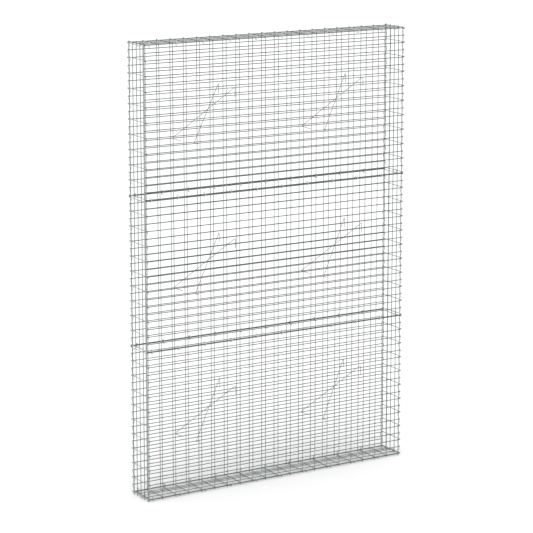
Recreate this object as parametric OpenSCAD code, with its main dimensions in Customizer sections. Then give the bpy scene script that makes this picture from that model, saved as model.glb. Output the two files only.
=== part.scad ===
// Gabion wall cage: welded wire mesh panels in three tiers, ring clips, helical
// corner binders and hooked tie wires. Millimetres, +Z up. X runs along the wall,
// the front faces -Y, and the origin is at the centre of the foot.

/* [Wall] */
// Length of the cage between the end mesh panels
wall_length = 2000; // [800:100:3000]
// Height of one tier of mesh, first row to last row
tier_height = 1000; // [500:50:1200]
// Depth of the cage between the front and back mesh panels
wall_depth = 200; // [150:50:400]

/* [Mesh] */
// Diameter of the mesh wires
wire = 5; // [3:0.25:5]
// Spacing of the rows of wire
row_pitch = 50; // [40:5:75]
// Spacing of the columns of wire
column_pitch = 100; // [75:5:150]
// How far the cut wire ends stick out past the last crossing wire
overhang = 12; // [9:1:16]

/* [Ring clips] */
// Diameter of the ring clip wire
ring_wire = 3; // [2:0.5:4]
// Radius of a ring clip, to the middle of its wire
ring_radius = 14; // [13:0.5:18]
// Distance along the wall from an upright wire to the ring clip beside it
ring_offset = 32; // [15:1:60]

/* [Corner binders] */
// Diameter of the helical binder wire
binder_wire = 3; // [2:0.5:3.5]

/* [Tie wires] */
// Diameter of the hooked tie wires
tie_wire = 3.6; // [2.5:0.1:4.5]
// Length of the leg of each hook
hook_leg = 60; // [30:5:80]

/* [Hidden] */
gap = 0.3;                                // air left between pieces that bear on each other
corner = wire / sqrt(3);                  // centre of a six-sided wire bar to its corners
lay = wire * 0.9;                         // from one layer of wires to the crossing layer
beside = wire + gap;                      // from one row wire to the next where panels meet
rows = 2 * round(tier_height / row_pitch / 2);
columns = 2 * round(wall_length / column_pitch / 2);
depth_cells = 2 * round(wall_depth / row_pitch / 2);
end_rows = rows / 2;                      // one beside every second row of the faces
row_step = tier_height / rows;
column_step = wall_length / columns;
depth_step = wall_depth / depth_cells;
end_row_step = tier_height / end_rows;
tier_step = tier_height + beside;
face_y = wall_depth / 2 + wire / 2 + gap + corner;   // upright wires, front and back
face_row_y = face_y + lay;                           // row wires, front and back
end_x = wall_length / 2 + wire / 2 + gap + corner;   // upright wires, ends
end_row_x = end_x + lay;                             // row wires, ends
top_z = tier_z(2) + tier_height + overhang;
ring_inside = ring_radius - ring_wire / 2 - gap;
ring_low = ring_radius + ring_wire / 2 + gap;        // lowest middle of a ring clip
binder_x = (wall_length / 2 + end_x) / 2;
binder_y = (wall_depth / 2 + face_y) / 2;
binder_steps = 8;                         // straight lengths in one turn of a binder
binder_radius = binder_wire / 2 + ((end_x - wall_length / 2) / sqrt(2) + corner + gap)
                / cos(180 / binder_steps);
tie_over = corner + tie_wire / 2 + gap;   // from a row wire to a tie wire that bears on it
steel = "silver";

function tier_z(t) = overhang + t * tier_step;
function foot_z(t) = t == 0 ? 0 : tier_z(t) - wire / 2;
function head_z(t) = t == 2 ? top_z : tier_z(t) + tier_height + wire / 2;

// Straight six-sided wires. The ridge faces the wires that cross it.
module bar(length, turn)
    rotate([0, 0, turn]) cylinder(h = length, r = corner, $fn = 6);

module bar_x(x0, x1, y, z, turn)
    translate([x0, y, z]) rotate([0, 90, 0]) bar(x1 - x0, turn);

module bar_y(y0, y1, x, z, turn)
    translate([x, y0, z]) rotate([-90, 0, 0]) bar(y1 - y0, turn);

module bar_z(z0, z1, x, y, turn)
    translate([x, y, z0]) bar(z1 - z0, turn);

// Front (side -1) or back (side 1) mesh panel of one tier
module face_panel(t, side)
    color(steel) union() {
        for (j = [0 : rows])
            bar_x(-wall_length / 2 - overhang, wall_length / 2 + overhang,
                  side * face_row_y, tier_z(t) + j * row_step, 30);
        for (i = [0 : columns])
            bar_z(foot_z(t), head_z(t), -wall_length / 2 + i * column_step, side * face_y, 30);
    }

// Left (side -1) or right (side 1) mesh panel of one tier. Its rows lie just above the
// rows of the face panels, and its top row just below theirs.
module end_panel(t, side)
    color(steel) union() {
        for (k = [0 : end_rows])
            bar_y(-face_y - overhang, face_y + overhang, side * end_row_x,
                  tier_z(t) + k * end_row_step + (k < end_rows ? beside : -beside), 0);
        for (j = [0 : depth_cells])
            bar_z(foot_z(t), head_z(t), side * end_x, -wall_depth / 2 + j * depth_step, 0);
    }

// Base or lid mesh panel, lying flat with its long wires at height z
module flat_panel(z)
    color(steel) union() {
        for (j = [0 : depth_cells])
            bar_x(-(wall_length + wire) / 2, (wall_length + wire) / 2,
                  -wall_depth / 2 + j * depth_step, z, 0);
        for (i = [0 : columns])
            bar_y(-(wall_depth + wire) / 2, (wall_depth + wire) / 2,
                  -wall_length / 2 + i * column_step, z + lay, 30);
    }

module ring()
    rotate_extrude($fn = 48) translate([ring_radius, 0]) circle(d = ring_wire, $fn = 24);

// From the middle of a ring clip to the wires it bears on, which lie apart from each other
function ring_reach(apart) = sqrt(pow(ring_inside - corner, 2) - pow(apart / 2, 2));

// How far a ring clip round a row wire at height z is raised to clear the ground
function ring_lift(z) = max(ring_low - z, 0);

// A row of ring clips along a long edge, or along a seam with two row wires. There is one
// beside every other upright wire.
module ring_row(side, z, apart = 0)
    let (lift = ring_lift(z), y = face_row_y - ring_reach(apart + 2 * lift))
    color(steel)
        for (i = [0 : 2 : columns - 1])
            translate([-wall_length / 2 + i * column_step + ring_offset, side * y, z + lift])
                rotate([0, 90, 0]) ring();

module end_ring(side, z, apart = 0, lift = 0)
    let (x = end_row_x - ring_reach(apart + 2 * lift))
    translate([side * x, -depth_step / 2, z + lift]) rotate([90, 0, 0]) ring();

// The ring clips of one end, one at each short edge and seam. The top one is raised to
// clear the lid wire that it goes round.
module end_rings(side)
    color(steel) {
        end_ring(side, tier_z(0) + beside, 0, ring_lift(tier_z(0) + beside));
        end_ring(side, tier_z(1) - beside / 2, 3 * beside);
        end_ring(side, tier_z(2) - beside / 2, 3 * beside);
        end_ring(side, tier_z(2) + tier_height - beside, 0,
                 max(lay + corner + beside - ring_inside, 0));
    }

// A skin of triangles over rings of points, with sides points in each ring
module skin(rings, sides)
    let (last = len(rings) - 1)
    polyhedron(
        points = [for (r = rings, p = r) p],
        faces = concat(
            [[for (k = [0 : sides - 1]) k]],
            [[for (k = [sides - 1 : -1 : 0]) last * sides + k]],
            [for (i = [0 : last - 1], k = [0 : sides - 1])
                [i * sides + k, (i + 1) * sides + (k + 1) % sides, i * sides + (k + 1) % sides]],
            [for (i = [0 : last - 1], k = [0 : sides - 1])
                [i * sides + k, (i + 1) * sides + k, (i + 1) * sides + (k + 1) % sides]]));

// Helical wire wound round the two edge wires of a corner, one length to each tier
module corner_binder(side_x, side_y)
    let (start = 60 + (side_x < 0 ? 0 : 180), turns = end_rows - 1 / 3,
         steps = round(turns * binder_steps), step_z = turns * end_row_step / steps,
         step_a = 360 * turns / steps, lean = atan2(end_row_step, 2 * PI * binder_radius))
    color(steel)
        for (t = [0 : 2])
            translate([side_x * binder_x, side_y * binder_y, tier_z(t) + end_row_step / 6])
                skin([for (i = [0 : steps]) let (a = start + i * step_a)
                    [for (b = [0 : 90 : 270])
                        let (r = binder_radius + binder_wire / 2 * cos(b),
                             s = -binder_wire / 2 * sin(b))
                        [r * cos(a) + s * sin(lean) * sin(a), r * sin(a) - s * sin(lean) * cos(a),
                         i * step_z + s * cos(lean)]]], 4);

// Points round a tight bend in the tie wire, each with the way its outer side faces
function bend(p, a0, a1) = [for (i = [0 : 4]) let (a = a0 + (a1 - a0) * i / 4)
    [p[0] + tie_bend * cos(a), p[1] + tie_bend * sin(a), a]];

// How far above or below a row wire a tie wire passes that climbs at an angle and crosses
// it at a skew, where side is the sine of the skew
function clear_of_row(angle, side) =
    tie_over * sqrt(pow(tan(angle), 2) + pow(side, 2)) / side;

// Tie wire hooked under a low row wire on one face (side 1 is the back) and over a high row
// wire on the other, drawn in its own upright plane with the low row wire at u_row, v_row
module tie(t, x, side, run)
    let (low = round(rows * 0.35) * row_step, high = round(rows * 0.65) * row_step,
         across = face_row_y * 2 + tie_over, turn = atan2(across, run), length = norm([run, across]),
         slope = atan2(high - low + tie_rise, length),
         over = clear_of_row(slope, sin(turn)), under = clear_of_row(tie_droop, sin(turn)),
         both = tan(slope) + tan(tie_droop),
         u_row = tie_bend + (over + under - tie_bend * (1 / cos(slope) + 1 / cos(tie_droop))) / both,
         v_row = tie_bend / cos(slope) + (u_row - tie_bend) * tan(slope) - over,
         u_high = u_row + length - tie_bend, v_high = (u_high - tie_bend) * tan(slope),
         low_bend = bend([tie_bend, 0], 270 - tie_droop, 90 + slope),
         high_bend = bend([u_high, v_high], 90 + slope, 0),
         path = concat(
             [[low_bend[0][0] + hook_leg * cos(tie_droop),
               low_bend[0][1] - hook_leg * sin(tie_droop), 270 - tie_droop]],
             low_bend, high_bend, [[u_high + tie_bend, v_high - hook_leg, 0]]))
    color(steel)
        translate([x, side * face_row_y, tier_z(t) + low]) rotate([0, 0, -side * turn])
            translate([-u_row, 0, -v_row])
                skin([for (p = path) [for (b = [0 : 60 : 300])
                    let (d = tie_wire / 2 * cos(b))
                    [p[0] + d * cos(p[2]), tie_wire / 2 * sin(b), p[1] + d * sin(p[2])]]], 6);

tie_bend = tie_wire;                      // radius of the bends, to the middle of the wire
tie_droop = 16;                           // dip of the low leg below level, in degrees
tie_rise = 30;                            // height of the high bend over its row wire
tie_x = [round(columns * -0.35) * column_step + 28, round(columns * 0.15) * column_step + 36];
tie_runs = [3 * column_step + 32, 3 * column_step + 12];
tie_shift = 32;                           // from the first tie of a pair to the second

face_panel(0, -1);  // front_panel_lower
face_panel(1, -1);  // front_panel_middle
face_panel(2, -1);  // front_panel_upper
face_panel(0, 1);  // back_panel_lower
face_panel(1, 1);  // back_panel_middle
face_panel(2, 1);  // back_panel_upper
end_panel(0, -1);  // left_end_lower
end_panel(1, -1);  // left_end_middle
end_panel(2, -1);  // left_end_upper
end_panel(0, 1);  // right_end_lower
end_panel(1, 1);  // right_end_middle
end_panel(2, 1);  // right_end_upper
flat_panel(tier_z(0));  // base_panel
flat_panel(tier_z(2) + tier_height);  // lid_panel
ring_row(-1, tier_z(0));  // front_base_rings
ring_row(-1, tier_z(1) - beside / 2, beside);  // front_lower_seam_rings
ring_row(-1, tier_z(2) - beside / 2, beside);  // front_upper_seam_rings
ring_row(-1, tier_z(2) + tier_height);  // front_lid_rings
ring_row(1, tier_z(0));  // back_base_rings
ring_row(1, tier_z(1) - beside / 2, beside);  // back_lower_seam_rings
ring_row(1, tier_z(2) - beside / 2, beside);  // back_upper_seam_rings
end_rings(-1);  // left_end_rings
end_rings(1);  // right_end_rings
corner_binder(-1, -1);  // front_left_binder
corner_binder(1, -1);  // front_right_binder
corner_binder(-1, 1);  // back_left_binder
corner_binder(1, 1);  // back_right_binder
tie(0, tie_x[0], 1, tie_runs[0]);  // tie_lower_left_a
tie(0, tie_x[0] + tie_shift, -1, tie_runs[1]);  // tie_lower_left_b
tie(0, tie_x[1], 1, tie_runs[0]);  // tie_lower_right_a
tie(0, tie_x[1] + tie_shift, -1, tie_runs[1]);  // tie_lower_right_b
tie(1, tie_x[0], 1, tie_runs[0]);  // tie_middle_left_a
tie(1, tie_x[0] + tie_shift, -1, tie_runs[1]);  // tie_middle_left_b
tie(1, tie_x[1], 1, tie_runs[0]);  // tie_middle_right_a
tie(1, tie_x[1] + tie_shift, -1, tie_runs[1]);  // tie_middle_right_b
tie(2, tie_x[0], 1, tie_runs[0]);  // tie_upper_left_a
tie(2, tie_x[0] + tie_shift, -1, tie_runs[1]);  // tie_upper_left_b
tie(2, tie_x[1], 1, tie_runs[0]);  // tie_upper_right_a
tie(2, tie_x[1] + tie_shift, -1, tie_runs[1]);  // tie_upper_right_b
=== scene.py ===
"""Gabion wall cage in galvanised welded mesh: three tiers of panels, ring clips,
helical corner binders and hooked tie wires. Metres, +Z up, the front faces -Y."""

import math

import bpy
import numpy as np
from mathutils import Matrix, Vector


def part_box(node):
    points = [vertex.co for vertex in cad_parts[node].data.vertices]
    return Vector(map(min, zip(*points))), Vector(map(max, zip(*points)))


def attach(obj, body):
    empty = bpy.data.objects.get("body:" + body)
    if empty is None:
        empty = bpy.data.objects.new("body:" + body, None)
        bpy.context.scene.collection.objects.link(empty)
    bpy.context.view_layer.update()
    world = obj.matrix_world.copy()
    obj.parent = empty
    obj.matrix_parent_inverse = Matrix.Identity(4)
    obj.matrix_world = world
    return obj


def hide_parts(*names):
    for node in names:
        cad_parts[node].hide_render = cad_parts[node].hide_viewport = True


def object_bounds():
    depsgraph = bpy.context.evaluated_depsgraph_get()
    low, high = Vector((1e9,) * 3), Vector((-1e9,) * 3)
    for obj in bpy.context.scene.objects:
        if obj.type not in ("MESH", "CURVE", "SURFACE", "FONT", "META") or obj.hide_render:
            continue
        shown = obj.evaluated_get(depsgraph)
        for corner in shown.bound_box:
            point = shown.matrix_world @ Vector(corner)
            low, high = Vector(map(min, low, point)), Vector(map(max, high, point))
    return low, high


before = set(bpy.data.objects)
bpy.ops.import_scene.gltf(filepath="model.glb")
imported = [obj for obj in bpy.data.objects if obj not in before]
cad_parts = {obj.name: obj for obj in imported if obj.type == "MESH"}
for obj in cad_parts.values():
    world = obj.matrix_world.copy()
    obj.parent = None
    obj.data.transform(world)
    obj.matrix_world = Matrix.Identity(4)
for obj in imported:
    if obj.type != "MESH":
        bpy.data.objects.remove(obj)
CAD_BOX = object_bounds()

TIERS = ("lower", "middle", "upper")
SIDES = {"front": -1, "back": 1}
ENDS = {"left": -1, "right": 1}

# Driving dimensions of the cage
LENGTH = 2.0
TIER = 1.0
DEPTH = 0.2
WIRE = 0.005
ROW_PITCH = 0.05
COLUMN_PITCH = 0.1
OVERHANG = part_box("front_panel_lower")[1].x - LENGTH / 2
GAP = 0.0003
RING_WIRE = 0.003
RING_RADIUS = 0.014
RING_OFFSET = 0.032
BINDER_WIRE = 0.003
TIE_WIRE = 0.0036
HOOK_LEG = 0.06
TIE_DROOP = math.radians(16)
TIE_RISE = 0.03
TIE_STARTS = {"left": -7 * COLUMN_PITCH + 0.028, "right": 3 * COLUMN_PITCH + 0.036}
TIE_RUNS = {"a": 3 * COLUMN_PITCH + 0.032, "b": 3 * COLUMN_PITCH + 0.012}
TIE_SHIFTS = {"a": 0.0, "b": 0.032}
TIE_LOW_SIDES = {"a": 1, "b": -1}
TIE_LOW_ROW = 0.35
TIE_HIGH_ROW = 0.65

# What follows from them
RADIUS = WIRE / 2
CORNER = WIRE / math.sqrt(3)
LAY = 0.9 * WIRE
BESIDE = WIRE + GAP
ROWS = round(TIER / ROW_PITCH)
COLUMNS = round(LENGTH / COLUMN_PITCH)
DEPTH_CELLS = round(DEPTH / ROW_PITCH)
END_ROWS = ROWS // 2
END_ROW_PITCH = 2 * ROW_PITCH
FACE_Y = DEPTH / 2 + RADIUS + GAP + CORNER
FACE_ROW_Y = FACE_Y + LAY
END_X = LENGTH / 2 + RADIUS + GAP + CORNER
END_ROW_X = END_X + LAY
RING_INSIDE = RING_RADIUS - RING_WIRE / 2 - GAP
RING_LOW = RING_RADIUS + RING_WIRE / 2 + GAP
BINDER_X = (LENGTH / 2 + END_X) / 2
BINDER_Y = (DEPTH / 2 + FACE_Y) / 2
BINDER_RADIUS = (END_X - LENGTH / 2) / math.sqrt(2) + CORNER + GAP + BINDER_WIRE / 2
TIE_BEND = TIE_WIRE
TIE_OVER = CORNER + TIE_WIRE / 2 + GAP

# Tones of the wires, from 0 (dark) to 1 (light), random for each wire within its range
# The face and end ranges are painted light and shade: face rows and end uprights are dark,
# face uprights and end rows are light
FACE_ROW_SHADED_TONES = (0.0, 0.2)
FACE_UPRIGHT_LIT_TONES = (0.6, 0.85)
END_ROW_LIT_TONES = (0.85, 1.0)
END_UPRIGHT_SHADED_TONES = (0.2, 0.5)
FLAT_TONES = (0.2, 0.6)
RING_TONE = 0.8
BINDER_TONE = 0.7
TIE_TONE = 0.05

# Fineness of the meshes
WIRE_SIDES = 14
CLIP_SIDES = 8
TIE_SIDES = 10
TURN_STEPS = 30
BEND_STEPS = 8
CUT_STEPS = np.array([0, 0.5, 1.1])  # rings next to a cut end, in half widths of the wire


def tier_z(tier):
    """Height of the lowest row of a tier."""
    return OVERHANG + tier * (TIER + BESIDE)


TOP_Z = tier_z(2) + TIER + OVERHANG


# ---- Meshes ----------------------------------------------------------------

def join(shapes):
    """One shape from several: points are stacked and the face numbers moved up to suit."""
    firsts = np.cumsum([0] + [len(shape["points"]) for shape in shapes[:-1]])
    joined = {"points": np.concatenate([shape["points"] for shape in shapes])}
    for key in ("along", "tone"):
        joined[key] = np.concatenate([shape[key] for shape in shapes])
    joined["faces"] = [
        (faces + first, finish)
        for shape, first in zip(shapes, firsts)
        for faces, finish in shape["faces"]
    ]
    return joined


def tubes(centres, normals, radii, sides, tone):
    """Round wires side by side in one shape.

    centres holds the points of each path, normals a direction square to the path at each
    point, and radii the half width of the wire along that direction and across it. A point
    of the skin is centre + a cos(t) normal + b sin(t) (tangent x normal), for t round the
    wire. Both ends are closed with a flat cut face."""
    wires, rings = centres.shape[:2]
    steps = np.gradient(centres, axis=1)
    tangents = steps / np.linalg.norm(steps, axis=2, keepdims=True)
    normals = np.broadcast_to(normals, centres.shape)
    normals = normals - tangents * (normals * tangents).sum(2, keepdims=True)
    normals = normals / np.linalg.norm(normals, axis=2, keepdims=True)
    binormals = np.cross(tangents, normals)
    turn = 2 * np.pi * np.arange(sides) / sides
    across = normals[:, :, None] * np.cos(turn)[:, None] * radii[:, None, 0:1]
    beside = binormals[:, :, None] * np.sin(turn)[:, None] * radii[:, None, 1:2]
    points = centres[:, :, None] + across + beside
    lengths = np.linalg.norm(np.diff(centres, axis=1), axis=2)
    along = np.concatenate([np.zeros((wires, 1)), np.cumsum(lengths, axis=1)], axis=1)
    number = np.arange(wires * rings * sides).reshape(wires, rings, sides)
    here, after = number[:, :-1], number[:, 1:]
    skin = np.stack([here, np.roll(here, -1, 2), np.roll(after, -1, 2), after], axis=-1)
    cuts = np.concatenate([number[:, 0, ::-1], number[:, -1]])
    return {
        "points": points.reshape(-1, 3),
        "along": np.repeat(along.ravel(), sides),
        "tone": np.repeat(np.broadcast_to(tone, (wires,)), rings * sides),
        "faces": [(skin.reshape(-1, 4), "skin"), (cuts, "cut")],
    }


def cut_radii(rings, radius):
    """Half widths of a wire with sheared ends: full, and pinched over the end rings."""
    radii = np.full((rings, 2), radius)
    radii[[0, -1]] = np.array([0.9, 0.45]) * radius
    radii[[1, -2]] = np.array([1.0, 0.85]) * radius
    return radii


def cut_steps(length, radius):
    """Distances along a straight wire of its rings: three close together at each end."""
    ends = CUT_STEPS * radius
    return np.concatenate([ends, length - ends[::-1]])


def straight_wires(starts, axis, length, radius, tone):
    """Straight wires from their start points, each start + distance along the axis. The ends
    are sheared and pinched."""
    steps = cut_steps(length, radius)
    centres = np.asarray(starts, float)[:, None] + steps[:, None] * np.asarray(axis, float)
    square = np.roll(axis, 1)
    return tubes(centres, square, cut_radii(len(steps), radius), WIRE_SIDES, tone)


def welds(places, along_a, along_b, seed):
    """Weld pips where wires cross. Each is a squashed ball between the two wires: its half
    width is the wire's radius times 1.3, a sixth more on the diagonals, where metal and zinc
    fill the corners, and its half height is 0.8 of that radius."""
    around, levels = 8, 3
    turn = 2 * np.pi * np.arange(around) / around
    rise = np.pi * (np.arange(1, levels + 1) / (levels + 1) - 0.5)
    swell = 1 + np.sin(2 * turn) ** 2 / 6
    flat = 1.3 * RADIUS * np.cos(rise)[:, None] * swell
    up = np.cross(along_a, along_b)
    height = 0.8 * RADIUS
    rings = (
        (flat * np.cos(turn))[..., None] * np.asarray(along_a)
        + (flat * np.sin(turn))[..., None] * np.asarray(along_b)
        + height * np.sin(rise)[:, None, None] * up
    )
    ball = np.concatenate([[-height * up], rings.reshape(-1, 3), [height * up]])
    rng = np.random.default_rng(seed)
    size = rng.uniform(0.88, 1.12, len(places))
    points = np.asarray(places)[:, None] + ball * size[:, None, None]
    ring = 1 + np.arange(around * levels).reshape(levels, around)
    last = len(ball) - 1
    below = np.stack([np.zeros(around, int), np.roll(ring[0], -1), ring[0]], axis=1)
    above = np.stack([np.full(around, last), ring[-1], np.roll(ring[-1], -1)], axis=1)
    here, after = ring[:-1], ring[1:]
    wall = np.stack([here, np.roll(here, -1, 1), np.roll(after, -1, 1), after], axis=-1)
    first = np.arange(len(places))[:, None, None] * len(ball)
    tips = np.concatenate([below, above])
    return {
        "points": points.reshape(-1, 3),
        "along": np.zeros(points.shape[0] * points.shape[1]),
        "tone": np.repeat(rng.uniform(0, 1, len(places)), len(ball)),
        "faces": [
            ((tips[None] + first).reshape(-1, 3), "weld"),
            ((wall.reshape(-1, 4)[None] + first).reshape(-1, 4), "weld"),
        ],
    }


def mesh_piece(name, shape, finishes, nodes):
    """Puts a shape into a mesh at the origin, which stands for the CAD nodes named."""
    mesh = bpy.data.meshes.new(name)
    corners = np.concatenate([faces.ravel() for faces, _ in shape["faces"]])
    sizes = np.concatenate([np.full(len(f), f.shape[1]) for f, _ in shape["faces"]])
    slots = {finish: number for number, finish in enumerate(finishes)}
    index = np.concatenate([np.full(len(f), slots[finish]) for f, finish in shape["faces"]])
    smooth = np.concatenate([np.full(len(f), finish != "cut") for f, finish in shape["faces"]])
    mesh.vertices.add(len(shape["points"]))
    mesh.vertices.foreach_set("co", shape["points"].astype(np.float32).ravel())
    mesh.loops.add(len(corners))
    mesh.loops.foreach_set("vertex_index", corners.astype(np.int32))
    mesh.polygons.add(len(sizes))
    starts = np.concatenate([[0], np.cumsum(sizes)[:-1]])
    mesh.polygons.foreach_set("loop_start", starts.astype(np.int32))
    mesh.update(calc_edges=True)
    mesh.polygons.foreach_set("material_index", index.astype(np.int32))
    mesh.polygons.foreach_set("use_smooth", smooth)
    for key in ("along", "tone"):
        values = mesh.attributes.new(key, "FLOAT", "POINT")
        values.data.foreach_set("value", shape[key].astype(np.float32))
    for material in finishes.values():
        mesh.materials.append(material)
    piece = bpy.data.objects.new(name, mesh)
    bpy.context.scene.collection.objects.link(piece)
    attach(piece, "root")
    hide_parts(*nodes)


# ---- Mesh panels -----------------------------------------------------------

def grid(*axes):
    """Every point whose coordinates come from the three lists given."""
    return np.stack(np.meshgrid(*axes, indexing="ij"), axis=-1).reshape(-1, 3)


def tones(count, seed, low, high):
    """A tone for each wire, from low (dark) to high (light)."""
    return np.random.default_rng(seed).uniform(low, high, count)


def foot_and_head(tier):
    """Lowest and highest end of the upright wires of a tier."""
    foot = 0.0 if tier == 0 else tier_z(tier) - RADIUS
    head = TOP_Z if tier == 2 else tier_z(tier) + TIER + RADIUS
    return foot, head


def face_panel(tier, side, seed):
    """Front or back panel: rows of wire outside the upright wires, welded at each cross."""
    foot, head = foot_and_head(tier)
    rows = tier_z(tier) + np.arange(ROWS + 1) * ROW_PITCH
    columns = -LENGTH / 2 + np.arange(COLUMNS + 1) * COLUMN_PITCH
    row_starts = grid([-LENGTH / 2 - OVERHANG], [side * FACE_ROW_Y], rows)
    upright_starts = grid(columns, [side * FACE_Y], [foot])
    crossings = grid(columns, [side * (FACE_Y + FACE_ROW_Y) / 2], rows)
    return join([
        # Face rows take dark tones as painted shade, face uprights light tones as painted
        # light
        straight_wires(row_starts, (1, 0, 0), LENGTH + 2 * OVERHANG, RADIUS,
                       tones(len(rows), seed, *FACE_ROW_SHADED_TONES)),
        straight_wires(upright_starts, (0, 0, 1), head - foot, RADIUS,
                       tones(len(columns), seed + 1, *FACE_UPRIGHT_LIT_TONES)),
        welds(crossings, (1, 0, 0), (0, 0, 1), seed + 2),
    ])


def end_panel(tier, side, seed):
    """End panel: short rows outside the upright wires, welded at each cross. Each lies beside
    every second row of the face panels."""
    foot, head = foot_and_head(tier)
    rows = tier_z(tier) + np.arange(END_ROWS + 1) * END_ROW_PITCH + BESIDE
    rows[-1] -= 2 * BESIDE
    columns = -DEPTH / 2 + np.arange(DEPTH_CELLS + 1) * ROW_PITCH
    half = FACE_Y + OVERHANG
    row_starts = grid([side * END_ROW_X], [-half], rows)
    upright_starts = grid([side * END_X], columns, [foot])
    crossings = grid([side * (END_X + END_ROW_X) / 2], columns, rows)
    return join([
        # End rows take light tones as painted light, end uprights dark tones as painted shade
        straight_wires(row_starts, (0, 1, 0), 2 * half, RADIUS,
                       tones(len(rows), seed, *END_ROW_LIT_TONES)),
        straight_wires(upright_starts, (0, 0, 1), head - foot, RADIUS,
                       tones(len(columns), seed + 1, *END_UPRIGHT_SHADED_TONES)),
        welds(crossings, (0, 1, 0), (0, 0, 1), seed + 2),
    ])


def flat_panel(z, seed):
    """Base or lid panel: long wires at height z and cross wires on top of them."""
    lengths = -DEPTH / 2 + np.arange(DEPTH_CELLS + 1) * ROW_PITCH
    crosses = -LENGTH / 2 + np.arange(COLUMNS + 1) * COLUMN_PITCH
    long_starts = grid([-LENGTH / 2 - RADIUS], lengths, [z])
    cross_starts = grid(crosses, [-DEPTH / 2 - RADIUS], [z + LAY])
    crossings = grid(crosses, lengths, [z + LAY / 2])
    return join([
        straight_wires(long_starts, (1, 0, 0), LENGTH + WIRE, RADIUS,
                       tones(len(lengths), seed, *FLAT_TONES)),
        straight_wires(cross_starts, (0, 1, 0), DEPTH + WIRE, RADIUS,
                       tones(len(crosses), seed + 1, *FLAT_TONES)),
        welds(crossings, (1, 0, 0), (0, 1, 0), seed + 2),
    ])


# ---- Clips, binders and ties -----------------------------------------------

def ring_reach(apart):
    """From the middle of a ring clip to the wires it bears on, which lie apart."""
    return math.sqrt((RING_INSIDE - CORNER) ** 2 - (apart / 2) ** 2)


def ring_clips(centres, axis, out, tone):
    """Ring clips of spring wire: each goes round its centre one and three quarter times while
    it climbs along the axis by a wire's thickness and a hair for each turn. The open ends
    lie over one another on the outer side."""
    turns, pitch = 1.75, RING_WIRE + 0.0002
    turn = np.linspace(-turns * np.pi, turns * np.pi, round(turns * TURN_STEPS))
    out, axis = np.asarray(out, float), np.asarray(axis, float)
    up = np.cross(axis, out)
    radial = np.cos(turn)[:, None] * -out + np.sin(turn)[:, None] * up
    path = RING_RADIUS * radial + (turn / (2 * np.pi) * pitch)[:, None] * axis
    places = np.asarray(centres, float)[:, None] + path
    return tubes(places, radial, cut_radii(len(turn), RING_WIRE / 2), CLIP_SIDES, tone)


def ring_row(side, z, apart=0.0):
    """The ring clips along one long edge or seam, beside every other upright wire."""
    lift = max(RING_LOW - z, 0)
    places = -LENGTH / 2 + np.arange(0, COLUMNS, 2) * COLUMN_PITCH + RING_OFFSET
    y = side * (FACE_ROW_Y - ring_reach(apart + 2 * lift))
    return ring_clips(grid(places, [y], [z + lift]), (1, 0, 0), (0, side, 0), RING_TONE)


def end_rings(side):
    """The ring clips of one end: one at the base, one at each seam and one at the lid, which
    is raised to clear the lid wire that it goes round."""
    seam = 3 * BESIDE
    heights = [(tier_z(0) + BESIDE, 0), (tier_z(1) - BESIDE / 2, seam),
               (tier_z(2) - BESIDE / 2, seam), (tier_z(2) + TIER - BESIDE, 0)]
    lifts = [max(RING_LOW - z, 0) for z, _ in heights]
    lifts[-1] = max(LAY + CORNER + BESIDE - RING_INSIDE, 0)
    centres = [
        (side * (END_ROW_X - ring_reach(apart + 2 * lift)), -ROW_PITCH / 2, z + lift)
        for (z, apart), lift in zip(heights, lifts)
    ]
    return ring_clips(centres, (0, 1, 0), (side, 0, 0), RING_TONE)


def corner_binder(side_x, side_y):
    """Helical binders of one corner, one to each tier: radius r about the corner's axis,
    rising from one end row to the next in a turn."""
    turns = END_ROWS - 1 / 3
    start = math.radians(60 if side_x < 0 else 240)
    turn = start + np.linspace(0, 2 * np.pi * turns, round(turns * TURN_STEPS))
    radial = np.stack([np.cos(turn), np.sin(turn), np.zeros_like(turn)], axis=1)
    climb = (turn - start) / (2 * np.pi) * END_ROW_PITCH
    path = BINDER_RADIUS * radial + climb[:, None] * np.array([0, 0, 1])
    feet = [(side_x * BINDER_X, side_y * BINDER_Y, tier_z(t) + END_ROW_PITCH / 6)
            for t in range(len(TIERS))]
    centres = np.array(feet)[:, None] + path
    radii = cut_radii(len(turn), BINDER_WIRE / 2)
    return tubes(centres, radial, radii, CLIP_SIDES, BINDER_TONE)


def clear_of_row(angle, side):
    """How far above or below a row wire a tie passes that climbs at an angle and crosses it
    at a skew, where side is the sine of the skew."""
    return TIE_OVER * math.sqrt(math.tan(angle) ** 2 + side ** 2) / side


def bend(u, v, start, end):
    """Points round a tight bend about (u, v), from one angle to another."""
    turn = np.linspace(start, end, BEND_STEPS)
    return np.stack([u + TIE_BEND * np.cos(turn), v + TIE_BEND * np.sin(turn)], axis=1)


def leg(start, end):
    """Points of a straight leg near its cut end, which is its start."""
    start, end = np.asarray(start), np.asarray(end)
    share = CUT_STEPS * TIE_WIRE / 2 / np.linalg.norm(end - start)
    return start + share[:, None] * (end - start)


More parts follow.
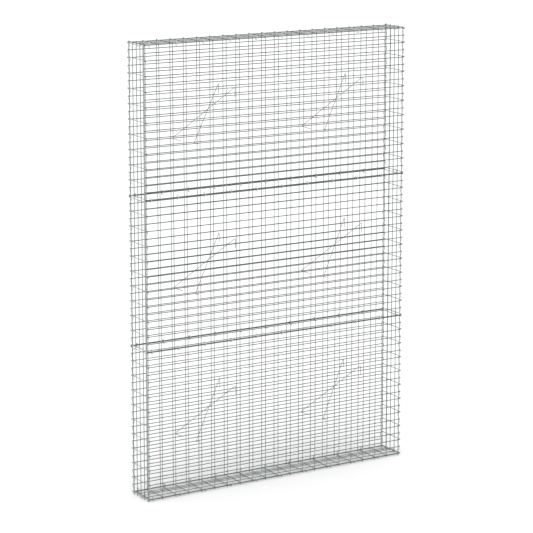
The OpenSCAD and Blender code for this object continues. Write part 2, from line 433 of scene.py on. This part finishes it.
def tie(tier, side, x, run):
    """A tie wire drawn in its own upright plane: a leg that droops under a low row wire, a
    tight bend, a straight climb through the cage, and a bend over a high row wire on the
    other face, with a leg that hangs straight down."""
    low = round(TIE_LOW_ROW * ROWS) * ROW_PITCH
    high = round(TIE_HIGH_ROW * ROWS) * ROW_PITCH
    across = 2 * FACE_ROW_Y + TIE_OVER
    turn, length = math.atan2(across, run), math.hypot(across, run)
    slope = math.atan2(high - low + TIE_RISE, length)
    over = clear_of_row(slope, math.sin(turn))
    under = clear_of_row(TIE_DROOP, math.sin(turn))
    spare = over + under - TIE_BEND * (1 / math.cos(slope) + 1 / math.cos(TIE_DROOP))
    u_row = TIE_BEND + spare / (math.tan(slope) + math.tan(TIE_DROOP))
    v_row = TIE_BEND / math.cos(slope) + (u_row - TIE_BEND) * math.tan(slope) - over
    u_high = u_row + length - TIE_BEND
    v_high = (u_high - TIE_BEND) * math.tan(slope)
    low_bend = bend(TIE_BEND, 0, 1.5 * np.pi - TIE_DROOP, np.pi / 2 + slope)
    high_bend = bend(u_high, v_high, np.pi / 2 + slope, 0)
    droop = HOOK_LEG * np.array([math.cos(TIE_DROOP), -math.sin(TIE_DROOP)])
    flat = np.concatenate([
        leg(low_bend[0] + droop, low_bend[0]), low_bend, high_bend,
        leg(high_bend[-1] - (0, HOOK_LEG), high_bend[-1])[::-1],
    ]) - (u_row, v_row)
    path = np.stack([
        x + flat[:, 0] * math.cos(turn),
        side * (FACE_ROW_Y - flat[:, 0] * math.sin(turn)),
        tier_z(tier) + low + flat[:, 1],
    ], axis=1)
    square = (math.sin(turn), side * math.cos(turn), 0)
    return tubes(path[None], square, cut_radii(len(path), TIE_WIRE / 2), TIE_SIDES, TIE_TONE)


# ---- Materials -------------------------------------------------------------

def new_group(name, inputs, outputs):
    """An empty node group with named sockets, and its input and output nodes."""
    group = bpy.data.node_groups.new(name, "ShaderNodeTree")
    for label, kind, value in inputs:
        socket = group.interface.new_socket(label, in_out="INPUT", socket_type=kind)
        socket.default_value = value
    for label, kind in outputs:
        group.interface.new_socket(label, in_out="OUTPUT", socket_type=kind)
    return group, group.nodes.new("NodeGroupInput"), group.nodes.new("NodeGroupOutput")


def node(tree, kind, **settings):
    """A new node in a tree. Settings that name an input set its value."""
    made = tree.nodes.new(kind)
    for name, value in settings.items():
        if hasattr(made, name):
            setattr(made, name, value)
        else:
            made.inputs[name.replace("_", " ")].default_value = value
    return made


def math_node(tree, operation, first, second, clamp=False):
    """A Math node fed by two sockets or numbers."""
    made = node(tree, "ShaderNodeMath", operation=operation, use_clamp=clamp)
    for socket, value in zip(made.inputs, (first, second)):
        if isinstance(value, (int, float)):
            socket.default_value = value
        else:
            tree.links.new(value, socket)
    return made.outputs[0]


def mix_colours(tree, factor, first, second):
    """A Mix node that goes from the first colour to the second."""
    made = node(tree, "ShaderNodeMix", data_type="RGBA")
    for socket, value in zip((made.inputs[0], made.inputs[6], made.inputs[7]),
                             (factor, first, second)):
        if isinstance(value, (int, float, tuple)):
            socket.default_value = value
        else:
            tree.links.new(value, socket)
    return made.outputs[2]


def noise(tree, vector, scale, detail):
    """Cloudy noise of so many waves to the metre, from 0 to 1."""
    made = node(tree, "ShaderNodeTexNoise", Scale=scale, Detail=detail)
    tree.links.new(vector, made.inputs["Vector"])
    return made.outputs["Factor"] if "Factor" in made.outputs else made.outputs["Fac"]


def spangle_group():
    """Zinc spangle: crystal patches a few millimetres wide that differ a little in tone, over
    a slow cloudiness. Tone runs from 0 to 1, and Height is the orange peel of the zinc."""
    group, ins, outs = new_group(
        "Zinc spangle",
        [("Crystals", "NodeSocketFloat", 240.0), ("Contrast", "NodeSocketFloat", 0.5)],
        [("Tone", "NodeSocketFloat"), ("Height", "NodeSocketFloat")])
    place = node(group, "ShaderNodeTexCoord").outputs["Object"]
    cells = node(group, "ShaderNodeTexVoronoi")
    group.links.new(place, cells.inputs["Vector"])
    group.links.new(ins.outputs["Crystals"], cells.inputs["Scale"])
    split = node(group, "ShaderNodeSeparateColor")
    group.links.new(cells.outputs["Color"], split.inputs[0])
    patch = math_node(group, "SUBTRACT", split.outputs[0], 0.5)
    patch = math_node(group, "MULTIPLY", patch, ins.outputs["Contrast"])
    cloud = noise(group, place, 14.0, 4.0)
    group.links.new(math_node(group, "ADD", cloud, patch, clamp=True), outs.inputs["Tone"])
    peel = noise(group, place, 900.0, 3.0)
    edge = math_node(group, "MULTIPLY", cells.outputs["Distance"], 0.4)
    group.links.new(math_node(group, "ADD", peel, edge), outs.inputs["Height"])
    return group


def bloom_group():
    """White bloom: thin chalky zinc oxide in patches. Amount sets how much is covered."""
    group, ins, outs = new_group(
        "White bloom", [("Amount", "NodeSocketFloat", 0.3)], [("Mask", "NodeSocketFloat")])
    place = node(group, "ShaderNodeTexCoord").outputs["Object"]
    wide = noise(group, place, 5.0, 3.0)
    fine = noise(group, place, 160.0, 5.0)
    both = math_node(group, "MULTIPLY", wide, fine)
    level = math_node(group, "SUBTRACT", 0.42, math_node(group, "MULTIPLY",
                                                         ins.outputs["Amount"], 0.3))
    mask = math_node(group, "SUBTRACT", both, level)
    mask = math_node(group, "MULTIPLY", mask, 7.0, clamp=True)
    group.links.new(mask, outs.inputs["Mask"])
    return group


def drawing_group():
    """Die marks of drawn wire: fine streaks that run along the wire. They follow the along
    attribute slowly and the place across the wire quickly."""
    group, ins, outs = new_group(
        "Drawing marks", [("Depth", "NodeSocketFloat", 0.3)], [("Height", "NodeSocketFloat")])
    along = node(group, "ShaderNodeAttribute", attribute_name="along").outputs["Fac"]
    tone = node(group, "ShaderNodeAttribute", attribute_name="tone").outputs["Fac"]
    normal = node(group, "ShaderNodeNewGeometry").outputs["Normal"]
    split = node(group, "ShaderNodeSeparateXYZ")
    group.links.new(normal, split.inputs[0])
    place = node(group, "ShaderNodeCombineXYZ")
    group.links.new(math_node(group, "ADD", split.outputs[0], split.outputs[1]),
                    place.inputs[0])
    group.links.new(math_node(group, "SUBTRACT", split.outputs[2], split.outputs[0]),
                    place.inputs[1])
    group.links.new(math_node(group, "ADD", math_node(group, "MULTIPLY", along, 2.0), tone),
                    place.inputs[2])
    streaks = noise(group, place.outputs[0], 26.0, 2.0)
    group.links.new(math_node(group, "MULTIPLY", streaks, ins.outputs["Depth"]),
                    outs.inputs["Height"])
    return group


def dust_group():
    """Dust: a mask on what faces up, broken by noise."""
    group, ins, outs = new_group(
        "Dust", [("Amount", "NodeSocketFloat", 0.3)], [("Mask", "NodeSocketFloat")])
    place = node(group, "ShaderNodeTexCoord").outputs["Object"]
    split = node(group, "ShaderNodeSeparateXYZ")
    group.links.new(node(group, "ShaderNodeNewGeometry").outputs["Normal"], split.inputs[0])
    up = math_node(group, "SUBTRACT", split.outputs[2], 0.35)
    specks = math_node(group, "MULTIPLY", up, noise(group, place, 70.0, 5.0), clamp=True)
    mask = math_node(group, "MULTIPLY", specks, ins.outputs["Amount"], clamp=True)
    group.links.new(mask, outs.inputs["Mask"])
    return group


def place_group(tree, group, **values):
    """A group placed in a material with its own values."""
    made = node(tree, "ShaderNodeGroup")
    made.node_tree = group
    for label, value in values.items():
        made.inputs[label].default_value = value
    return made.outputs


def zinc(name, groups, dark, light, bloom, dust, metallic, rough, crystals):
    """Galvanised wire: tone from spangle and from each wire's tone attribute, which on the
    mesh panels also holds painted light and shade, chalky bloom over it, dust on top, and a
    bump of orange peel and die marks."""
    material = bpy.data.materials.new(name)
    material.use_nodes = True
    tree = material.node_tree
    shader = tree.nodes["Principled BSDF"]
    shader.inputs["Metallic"].default_value = metallic
    spangle = place_group(tree, groups["spangle"], Crystals=crystals, Contrast=0.5)
    haze = place_group(tree, groups["bloom"], Amount=bloom)["Mask"]
    specks = place_group(tree, groups["dust"], Amount=dust)["Mask"]
    marks = place_group(tree, groups["drawing"], Depth=0.5)["Height"]
    # Each wire's random tone, which on the mesh panels also carries painted light and shade by
    # wire direction
    tone_and_painted_light = node(tree, "ShaderNodeAttribute", attribute_name="tone").outputs["Fac"]
    tone = math_node(tree, "ADD", math_node(tree, "MULTIPLY", tone_and_painted_light, 0.8),
                     math_node(tree, "MULTIPLY", spangle["Tone"], 0.2), clamp=True)
    colour = mix_colours(tree, tone, dark, light)
    colour = mix_colours(tree, math_node(tree, "MULTIPLY", haze, 0.6), colour,
                         (0.30, 0.32, 0.31, 1))
    colour = mix_colours(tree, specks, colour, (0.22, 0.21, 0.19, 1))
    tree.links.new(colour, shader.inputs["Base Color"])
    matt = math_node(tree, "ADD", math_node(tree, "MULTIPLY", haze, 0.25),
                     math_node(tree, "MULTIPLY", spangle["Tone"], 0.14))
    matt = math_node(tree, "ADD", matt, math_node(tree, "MULTIPLY", specks, 0.3))
    tree.links.new(math_node(tree, "ADD", matt, rough, clamp=True),
                   shader.inputs["Roughness"])
    bump = node(tree, "ShaderNodeBump", Strength=0.35, Distance=0.0002)
    tree.links.new(math_node(tree, "ADD", spangle["Height"], marks), bump.inputs["Height"])
    tree.links.new(bump.outputs[0], shader.inputs["Normal"])
    return material


def cut_steel():
    """Sheared wire ends: bare grey steel with shear lines and a trace of rust."""
    material = bpy.data.materials.new("Cut wire ends")
    material.use_nodes = True
    tree = material.node_tree
    shader = tree.nodes["Principled BSDF"]
    shader.inputs["Metallic"].default_value = 0.8
    place = node(tree, "ShaderNodeTexCoord").outputs["Object"]
    rust = math_node(tree, "SUBTRACT", noise(tree, place, 130.0, 4.0), 0.5)
    rust = math_node(tree, "MULTIPLY", rust, 4.0, clamp=True)
    colour = mix_colours(tree, rust, (0.30, 0.30, 0.30, 1), (0.24, 0.17, 0.12, 1))
    tree.links.new(colour, shader.inputs["Base Color"])
    lines = noise(tree, place, 2500.0, 2.0)
    tree.links.new(math_node(tree, "ADD", math_node(tree, "MULTIPLY", lines, 0.3), 0.35),
                   shader.inputs["Roughness"])
    bump = node(tree, "ShaderNodeBump", Strength=0.4, Distance=0.0001)
    tree.links.new(lines, bump.inputs["Height"])
    tree.links.new(bump.outputs[0], shader.inputs["Normal"])
    return material


def finishes():
    """The finishes of the mesh panels and of the clips, by the faces that they go on."""
    groups = {"spangle": spangle_group(), "bloom": bloom_group(),
              "drawing": drawing_group(), "dust": dust_group()}
    # The dark and light colours of the mesh wire, picked by each wire's tone, paint shade on
    # face rows and end uprights and light on face uprights and end rows
    mesh_zinc_lit_and_shaded = zinc("Galvanised mesh wire, painted light and shade", groups, (0.020, 0.019, 0.0195, 1),
                     (0.48, 0.55, 0.525, 1), 0.35, 0.25, 0.75, 0.34, 240.0)
    weld_zinc = zinc("Galvanised weld", groups, (0.10, 0.105, 0.102, 1),
                     (0.20, 0.22, 0.21, 1), 0.5, 0.3, 0.6, 0.42, 420.0)
    clip_zinc = zinc("Galvanised spring wire", groups, (0.08, 0.08, 0.082, 1),
                     (0.78, 0.81, 0.80, 1), 0.2, 0.2, 0.8, 0.28, 520.0)
    cut = cut_steel()
    mesh_finish = {"skin": mesh_zinc_lit_and_shaded, "weld": weld_zinc, "cut": cut}
    clip_finish = {"skin": clip_zinc, "cut": cut}
    return mesh_finish, clip_finish


# ---- Assembly --------------------------------------------------------------

def build_panels(finish):
    """The fourteen mesh panels, each with its own run of tones and welds."""
    seed = 100
    for tier, name in enumerate(TIERS):
        for label, side in SIDES.items():
            panel = f"{label}_panel_{name}"
            mesh_piece(panel + "_mesh", face_panel(tier, side, seed), finish, [panel])
            seed += 10
        for label, side in ENDS.items():
            panel = f"{label}_end_{name}"
            mesh_piece(panel + "_mesh", end_panel(tier, side, seed), finish, [panel])
            seed += 10
    for panel, z in (("base_panel", tier_z(0)), ("lid_panel", tier_z(2) + TIER)):
        mesh_piece(panel + "_mesh", flat_panel(z, seed), finish, [panel])
        seed += 10


def build_clips(finish):
    """The ring clips of each edge and seam that has them, and the corner binders."""
    heights = {"base": (tier_z(0), 0.0), "lower_seam": (tier_z(1) - BESIDE / 2, BESIDE),
               "upper_seam": (tier_z(2) - BESIDE / 2, BESIDE), "lid": (tier_z(2) + TIER, 0.0)}
    for label, side in SIDES.items():
        for edge, (z, apart) in heights.items():
            rings = f"{label}_{edge}_rings"
            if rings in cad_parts:
                mesh_piece(rings + "_wire", ring_row(side, z, apart), finish, [rings])
    for label, side in ENDS.items():
        rings = f"{label}_end_rings"
        mesh_piece(rings + "_wire", end_rings(side), finish, [rings])
        for face, side_y in SIDES.items():
            binder = f"{face}_{label}_binder"
            mesh_piece(binder + "_wire", corner_binder(side, side_y), finish, [binder])


def build_ties(finish):
    """Two crossed pairs of tie wires in each tier."""
    for tier, name in enumerate(TIERS):
        for place, start in TIE_STARTS.items():
            for kind, side in TIE_LOW_SIDES.items():
                shape = tie(tier, side, start + TIE_SHIFTS[kind], TIE_RUNS[kind])
                wire = f"tie_{name}_{place}_{kind}"
                mesh_piece(wire + "_wire", shape, finish, [wire])


# ---- Studio ----------------------------------------------------------------

def pale_floor():
    """A wide plain floor, a little below the feet of the wires."""
    half = 400.0
    floor = bpy.data.meshes.new("floor")
    z = CAD_BOX[0].z - 0.0005
    floor.from_pydata([(-half, -half, z), (half, -half, z), (half, half, z), (-half, half, z)],
                      [], [(0, 1, 2, 3)])
    thing = bpy.data.objects.new("floor", floor)
    bpy.context.scene.collection.objects.link(thing)
    material = bpy.data.materials.new("Pale floor")
    material.use_nodes = True
    shader = material.node_tree.nodes["Principled BSDF"]
    shader.inputs["Base Color"].default_value = (0.95, 0.95, 0.95, 1)
    shader.inputs["Roughness"].default_value = 0.9
    shader.inputs["Specular IOR Level"].default_value = 0.1
    floor.materials.append(material)


def soft_light():
    """White surroundings and one soft light from high up on the left."""
    world = bpy.data.worlds.new("studio")
    bpy.context.scene.world = world
    world.use_nodes = True
    back = world.node_tree.nodes["Background"]
    back.inputs["Color"].default_value = (1, 1, 1, 1)
    back.inputs["Strength"].default_value = 1.0
    lamp = bpy.data.lights.new("high_light", "SUN")
    lamp.energy = 0.7
    lamp.angle = math.radians(30)
    sun = bpy.data.objects.new("high_light", lamp)
    sun.rotation_euler = (math.radians(18), math.radians(-12), 0)
    bpy.context.scene.collection.objects.link(sun)


def camera():
    """A long lens from the front left, above the top of the cage."""
    data = bpy.data.cameras.new("camera")
    data.sensor_width = 36.0
    data.lens = 150.66
    data.shift_y = -0.09
    data.clip_end = 1000.0
    eye = bpy.data.objects.new("camera", data)
    eye.location = (-7.775, -12.495, 4.620 + OVERHANG)
    eye.rotation_euler = (math.radians(90 - 10.951), 0, math.radians(-31.804))
    bpy.context.scene.collection.objects.link(eye)
    bpy.context.scene.camera = eye


camera()
mesh_finish, clip_finish = finishes()
build_panels(mesh_finish)
build_clips(clip_finish)
build_ties(clip_finish)
pale_floor()
soft_light()

bpy.context.scene.view_settings.view_transform = "Standard"
